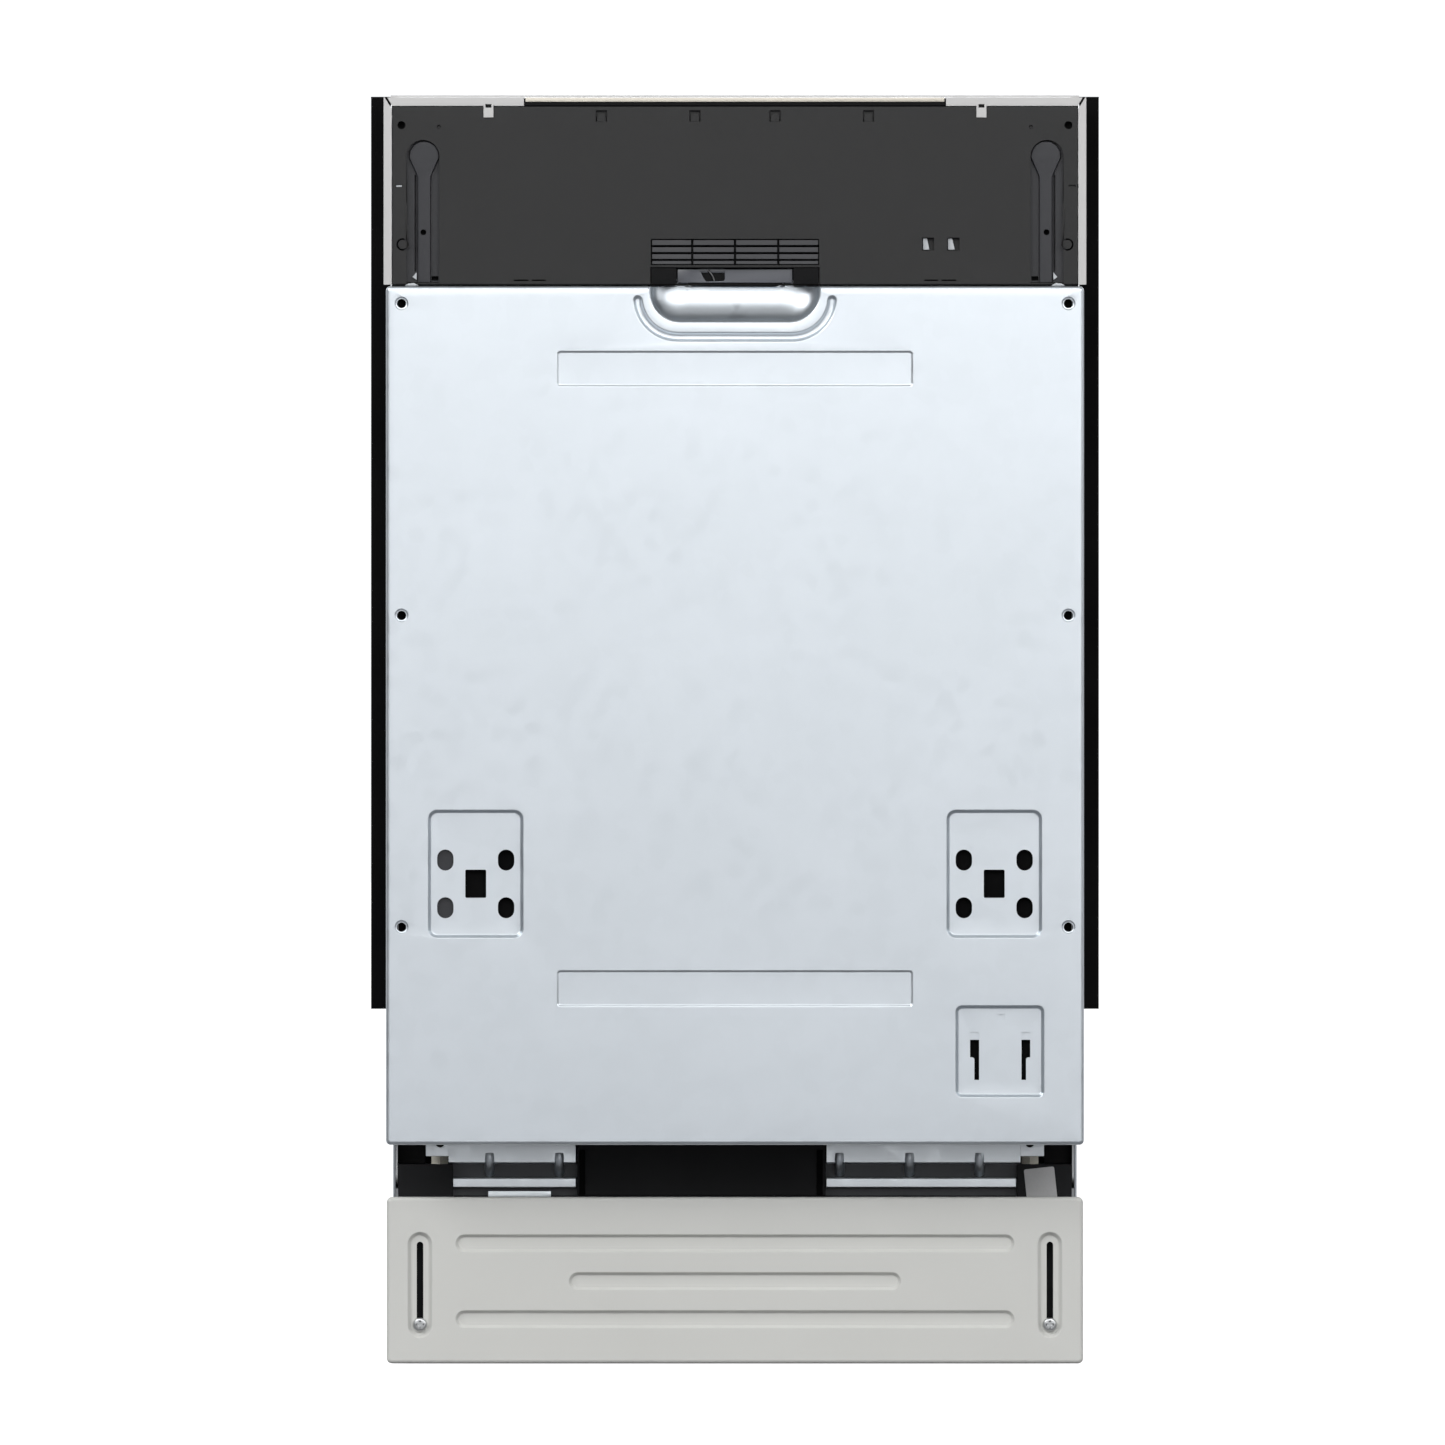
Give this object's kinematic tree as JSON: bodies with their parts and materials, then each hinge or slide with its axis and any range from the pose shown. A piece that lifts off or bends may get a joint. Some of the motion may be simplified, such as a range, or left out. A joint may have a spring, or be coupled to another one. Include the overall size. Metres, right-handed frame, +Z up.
{
  "type": "slimline built-in dishwasher",
  "caption": "Slimline fully integrated dishwasher with hinged door, pull-out racks, spray arms, top-edge controls, adjustable feet and a slotted plinth.",
  "frame": {"origin": "middle of the footprint, at floor level", "axes": "+Z up, the door faces -Y, +X to the right when facing the door"},
  "size_m": [0.4684, 0.55, 0.815],
  "materials": {
    "galvanised": "satin galvanised sheet",
    "stainless": "fine brushed stainless sheet",
    "panel_plastic": "dark grey moulding, fine matt grain",
    "black_plastic": "black moulding, matt",
    "gloss_plastic": "black, polished",
    "grey_plastic": "grey polypropylene, satin",
    "cream_plastic": "natural nylon, satin",
    "rubber": "black extruded rubber, matt",
    "felt": "pressed felt over a bitumen mat",
    "coated_wire": "nylon coated wire, satin",
    "plinth_paint": "beige grey enamel, satin",
    "fixing_steel": "zinc plated steel"
  },
  "bodies": {
    "cabinet": {"tub": "stainless", "back_panel": "galvanised", "door_gasket": "rubber", "top_felt": "felt", "latch_keeper": "fixing_steel", "side_panel_left": "galvanised", "side_panel_right": "galvanised", "side_strip_left": "rubber", "side_strip_right": "rubber", "worktop_bracket_left": "galvanised", "worktop_bracket_right": "galvanised", "hinge_plate_left": "fixing_steel", "hinge_plate_right": "fixing_steel", "base_tray": "black_plastic", "front_crossbar": "galvanised", "base_centre_cover": "black_plastic", "plinth_screw_left": "fixing_steel", "plinth_screw_right": "fixing_steel", "sump": "black_plastic", "filter_plate": "stainless", "water_softener": "grey_plastic", "circulation_pump": "black_plastic", "drain_pump": "black_plastic", "inlet_valve": "grey_plastic", "air_break_tank": "grey_plastic", "feed_pipe": "grey_plastic", "cable_gland": "black_plastic"},
    "door": {"outer_door_panel": "galvanised", "inner_door_panel": "stainless", "control_panel": "panel_plastic", "control_strip": "black_plastic", "display_window": "gloss_plastic", "door_latch": "black_plastic", "dispenser_body": "grey_plastic", "bottom_seal": "rubber", "hinge_arm_left": "fixing_steel", "hinge_arm_right": "fixing_steel"},
    "latch_handle": {"latch_handle": "gloss_plastic"},
    "dispenser_lid": {"dispenser_lid": "grey_plastic"},
    "dispenser_catch": {"dispenser_catch": "black_plastic"},
    "rinse_aid_cap": {"rinse_aid_cap": "black_plastic"},
    "upper_rack": {"upper_rack": "coated_wire", "rack_rail_left": "fixing_steel", "rack_rail_right": "fixing_steel"},
    "upper_spray_arm": {"upper_spray_arm": "grey_plastic"},
    "cup_shelf": {"cup_shelf": "coated_wire"},
    "lower_rack": {"lower_rack": "coated_wire"},
    "cutlery_basket": {"cutlery_basket": "grey_plastic"},
    "lower_spray_arm": {"lower_spray_arm": "grey_plastic"},
    "filter_cup": {"filter_cup": "grey_plastic"},
    "salt_cap": {"salt_cap": "grey_plastic"},
    "plinth": {"plinth": "plinth_paint"},
    "front_foot_left": {"front_foot_left": "cream_plastic"},
    "front_foot_right": {"front_foot_right": "cream_plastic"},
    "rear_foot": {"rear_foot": "cream_plastic"},
    "button_power": {"button_power": "grey_plastic"},
    "button_program": {"button_program": "grey_plastic"},
    "button_half_load": {"button_half_load": "grey_plastic"},
    "button_delay": {"button_delay": "grey_plastic"},
    "button_start": {"button_start": "grey_plastic"}
  },
  "joints": [
    {"name": "door_hinge", "type": "hinge", "parent": "cabinet", "child": "door", "pos_m": [0, -0.226, 0.166], "axis": [1, 0, 0], "range_deg": [0, 90]},
    {"name": "latch_handle_pull", "type": "hinge", "parent": "door", "child": "latch_handle", "pos_m": [0, -0.2675, 0.7022], "axis": [-1, 0, 0], "range_deg": [0, 15], "stiffness_Nm_per_rad": 0.05, "springref_deg": -11.46},
    {"name": "dispenser_lid_slide", "type": "slide", "parent": "door", "child": "dispenser_lid", "axis": [0, 0, -1], "range_m": [0, 0.05]},
    {"name": "dispenser_catch_press", "type": "slide", "parent": "door", "child": "dispenser_catch", "axis": [0, -1, 0], "range_m": [0, 0.002], "stiffness_N_per_m": 300, "springref_m": -0.0005},
    {"name": "rinse_aid_cap_turn", "type": "hinge", "parent": "door", "child": "rinse_aid_cap", "pos_m": [0.042, -0.215, 0.468], "axis": [0, 1, 0], "range_deg": [0, 90]},
    {"name": "upper_rack_slide", "type": "slide", "parent": "cabinet", "child": "upper_rack", "axis": [0, -1, 0], "range_m": [0, 0.38]},
    {"name": "upper_spray_arm_spin", "type": "hinge", "parent": "upper_rack", "child": "upper_spray_arm", "pos_m": [0, 0.022, 0.518], "axis": [0, 0, 1], "continuous": true},
    {"name": "cup_shelf_fold", "type": "hinge", "parent": "upper_rack", "child": "cup_shelf", "pos_m": [-0.174, 0, 0.642], "axis": [0, -1, 0], "range_deg": [0, 80]},
    {"name": "lower_rack_slide", "type": "slide", "parent": "cabinet", "child": "lower_rack", "axis": [0, -1, 0], "range_m": [0, 0.11]},
    {"name": "cutlery_basket_lift", "type": "slide", "parent": "lower_rack", "child": "cutlery_basket", "axis": [0, 0, 1], "range_m": [0, 0.09]},
    {"name": "lower_spray_arm_spin", "type": "hinge", "parent": "cabinet", "child": "lower_spray_arm", "pos_m": [0, 0.022, 0.19], "axis": [0, 0, 1], "continuous": true},
    {"name": "filter_cup_turn", "type": "hinge", "parent": "cabinet", "child": "filter_cup", "pos_m": [0, -0.034, 0.13], "axis": [0, 0, 1], "range_deg": [0, 90]},
    {"name": "salt_cap_turn", "type": "hinge", "parent": "cabinet", "child": "salt_cap", "pos_m": [-0.108, -0.06, 0.166], "axis": [0, 0, 1], "range_deg": [0, 270]},
    {"name": "plinth_slide", "type": "slide", "parent": "cabinet", "child": "plinth", "axis": [0, 0, -1], "range_m": [0, 0.05]},
    {"name": "front_foot_left_turn", "type": "hinge", "parent": "cabinet", "child": "front_foot_left", "pos_m": [-0.19025, -0.18, 0.06], "axis": [0, 0, 1], "continuous": true},
    {"name": "front_foot_right_turn", "type": "hinge", "parent": "cabinet", "child": "front_foot_right", "pos_m": [0.19025, -0.18, 0.06], "axis": [0, 0, 1], "continuous": true},
    {"name": "rear_foot_turn", "type": "hinge", "parent": "cabinet", "child": "rear_foot", "pos_m": [0, 0.232, 0.04], "axis": [0, 0, 1], "continuous": true},
    {"name": "button_power_press", "type": "slide", "parent": "door", "child": "button_power", "axis": [0, 0, -1], "range_m": [0, 0.002], "stiffness_N_per_m": 400, "springref_m": -0.0005},
    {"name": "button_program_press", "type": "slide", "parent": "door", "child": "button_program", "axis": [0, 0, -1], "range_m": [0, 0.002], "stiffness_N_per_m": 400, "springref_m": -0.0005},
    {"name": "button_half_load_press", "type": "slide", "parent": "door", "child": "button_half_load", "axis": [0, 0, -1], "range_m": [0, 0.002], "stiffness_N_per_m": 400, "springref_m": -0.0005},
    {"name": "button_delay_press", "type": "slide", "parent": "door", "child": "button_delay", "axis": [0, 0, -1], "range_m": [0, 0.002], "stiffness_N_per_m": 400, "springref_m": -0.0005},
    {"name": "button_start_press", "type": "slide", "parent": "door", "child": "button_start", "axis": [0, 0, -1], "range_m": [0, 0.002], "stiffness_N_per_m": 400, "springref_m": -0.0005}
  ],
  "couplings": [
    {"joint": "upper_rack_slide", "follows": "door_hinge", "m_per_rad": 0.24},
    {"joint": "lower_rack_slide", "follows": "door_hinge", "m_per_rad": 0.07}
  ]
}
